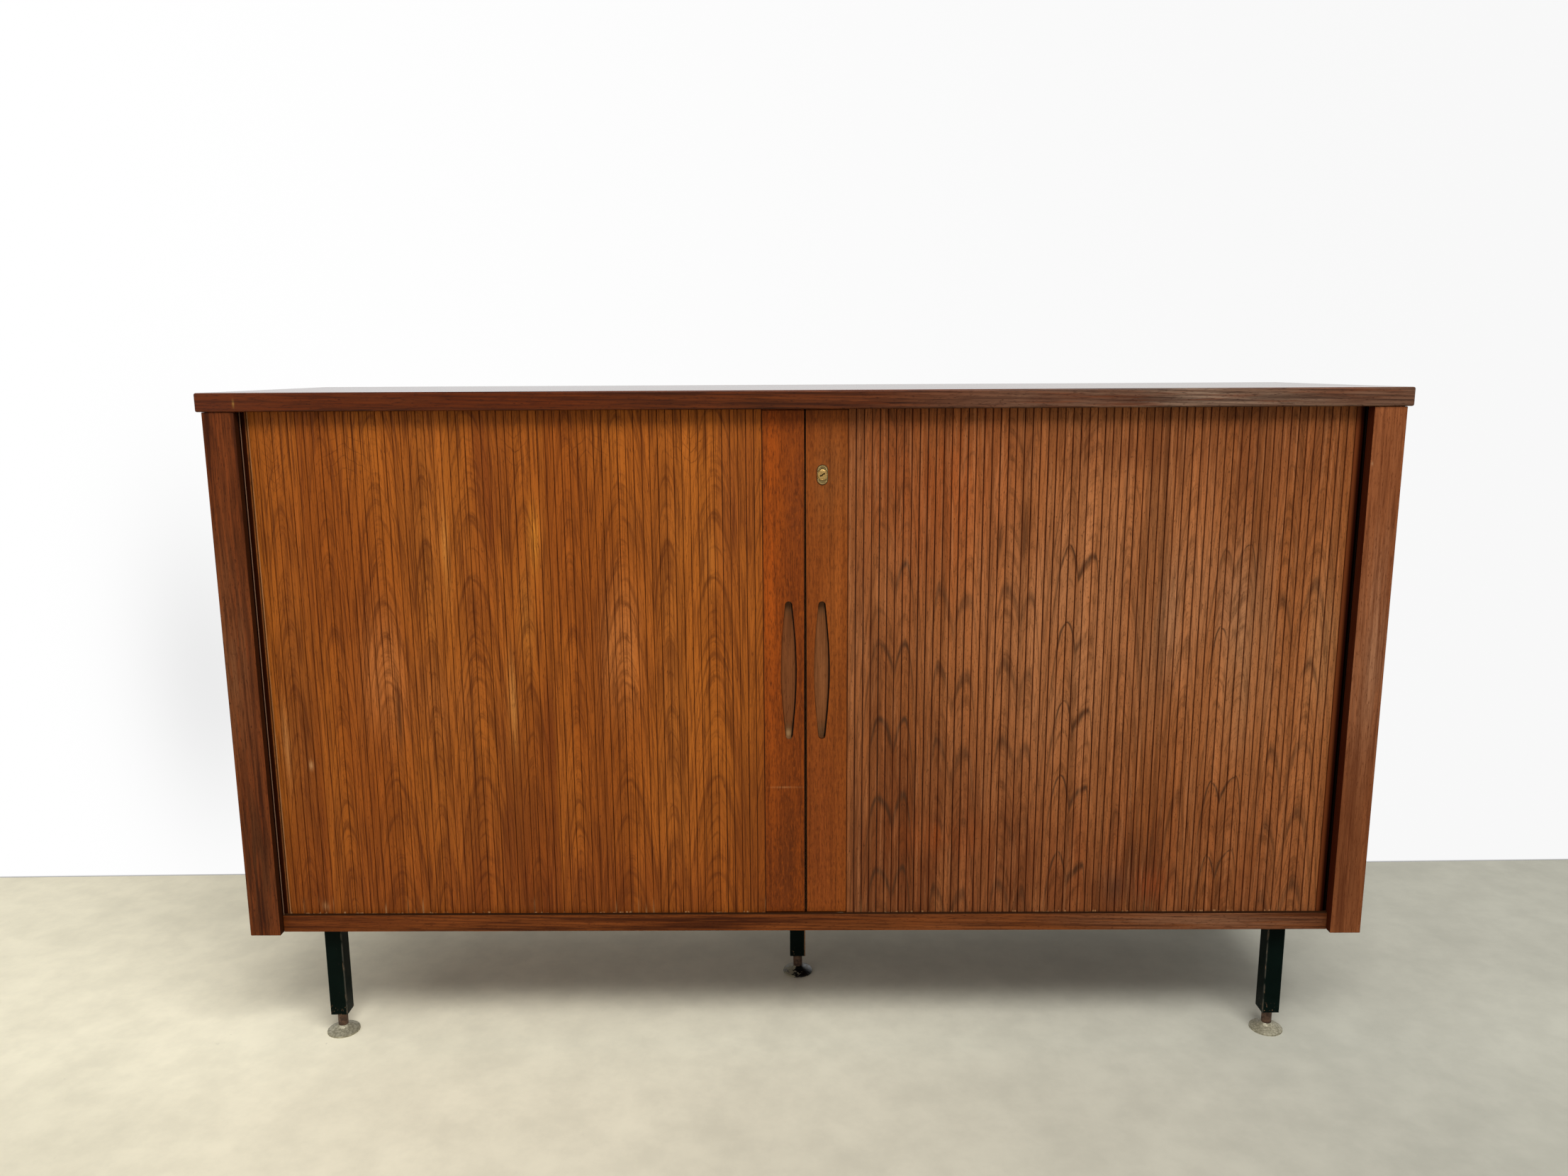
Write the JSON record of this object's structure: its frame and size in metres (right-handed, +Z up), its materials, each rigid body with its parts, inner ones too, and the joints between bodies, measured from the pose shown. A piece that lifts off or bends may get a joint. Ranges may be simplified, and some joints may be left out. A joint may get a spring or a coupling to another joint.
{
  "type": "tambour door cabinet",
  "caption": "Low, wide wooden cabinet with two sliding slatted doors that run round the front corners, finger grips, a small lock, and square steel legs with levelling feet.",
  "frame": {"origin": "centre of the footprint, on the floor", "axes": "+X to the right along the width, +Y to the back, +Z up"},
  "size_m": [1.6, 0.45, 0.945],
  "materials": {
    "case_wood": "dark red-brown walnut veneer, satin lacquer",
    "door_wood": "warm orange-brown walnut slats, satin lacquer",
    "inner_board": "plain veneered board, dull lacquer",
    "black_paint": "green-black enamel, worn on the edges",
    "rusty_steel": "brown rusted thread",
    "dull_zinc": "dull galvanised, stained",
    "brass": "tarnished brass",
    "bright_steel": "plain zinc-plated steel"
  },
  "bodies": {
    "carcass": {"top_board": "case_wood", "bottom_board": "case_wood", "partition": "inner_board", "back_panel": "inner_board", "post_left": "case_wood", "side_panel_left": "case_wood", "side_liner_left": "inner_board", "back_liner_left": "inner_board", "shelf_left": "inner_board", "door_stop_left": "inner_board", "post_right": "case_wood", "side_panel_right": "case_wood", "side_liner_right": "inner_board", "back_liner_right": "inner_board", "shelf_right": "inner_board", "door_stop_right": "inner_board", "shelf_pin_left_inner_front": "bright_steel", "shelf_pin_left_inner_rear": "bright_steel", "shelf_pin_left_outer_front": "bright_steel", "shelf_pin_left_outer_rear": "bright_steel", "shelf_pin_right_inner_front": "bright_steel", "shelf_pin_right_inner_rear": "bright_steel", "shelf_pin_right_outer_front": "bright_steel", "shelf_pin_right_outer_rear": "bright_steel", "leg_front_left": "black_paint", "leg_front_right": "black_paint", "leg_rear_left": "black_paint", "leg_rear_right": "black_paint", "leg_centre": "black_paint", "foot_insert_front_left": "bright_steel", "foot_insert_front_right": "bright_steel", "foot_insert_rear_left": "bright_steel", "foot_insert_rear_right": "bright_steel", "foot_insert_centre": "bright_steel"},
    "door_left": {"tambour_left": "door_wood", "lead_stile_left": "door_wood", "strike_plate": "bright_steel"},
    "door_right": {"tambour_right": "door_wood", "lead_stile_right": "door_wood", "lock_barrel": "brass", "lock_case": "bright_steel"},
    "lock": {"lock_plug": "brass", "lock_hook": "bright_steel"},
    "foot_front_left": {"foot_spindle_front_left": "rusty_steel", "foot_glide_front_left": "dull_zinc"},
    "foot_front_right": {"foot_spindle_front_right": "rusty_steel", "foot_glide_front_right": "dull_zinc"},
    "foot_rear_left": {"foot_spindle_rear_left": "rusty_steel", "foot_glide_rear_left": "dull_zinc"},
    "foot_rear_right": {"foot_spindle_rear_right": "rusty_steel", "foot_glide_rear_right": "dull_zinc"},
    "foot_centre": {"foot_spindle_centre": "rusty_steel", "foot_glide_centre": "dull_zinc"}
  },
  "joints": [
    {"name": "door_left_slide", "type": "slide", "parent": "carcass", "child": "door_left", "axis": [-1, 0, 0], "range_m": [0, 0.676], "deforming": ["tambour_left"]},
    {"name": "door_right_slide", "type": "slide", "parent": "carcass", "child": "door_right", "axis": [1, 0, 0], "range_m": [0, 0.67], "deforming": ["tambour_right"]},
    {"name": "lock_turn", "type": "hinge", "parent": "door_right", "child": "lock", "pos_m": [0.0264, -0.2, 0.832], "axis": [0, 1, 0], "range_deg": [0, 90]},
    {"name": "foot_front_left_height", "type": "slide", "parent": "carcass", "child": "foot_front_left", "axis": [0, 0, 1], "range_m": [-0.012, 0.015]},
    {"name": "foot_front_right_height", "type": "slide", "parent": "carcass", "child": "foot_front_right", "axis": [0, 0, 1], "range_m": [-0.012, 0.015]},
    {"name": "foot_rear_left_height", "type": "slide", "parent": "carcass", "child": "foot_rear_left", "axis": [0, 0, 1], "range_m": [-0.012, 0.015]},
    {"name": "foot_rear_right_height", "type": "slide", "parent": "carcass", "child": "foot_rear_right", "axis": [0, 0, 1], "range_m": [-0.012, 0.015]},
    {"name": "foot_centre_height", "type": "slide", "parent": "carcass", "child": "foot_centre", "axis": [0, 0, 1], "range_m": [-0.012, 0.015]}
  ]
}
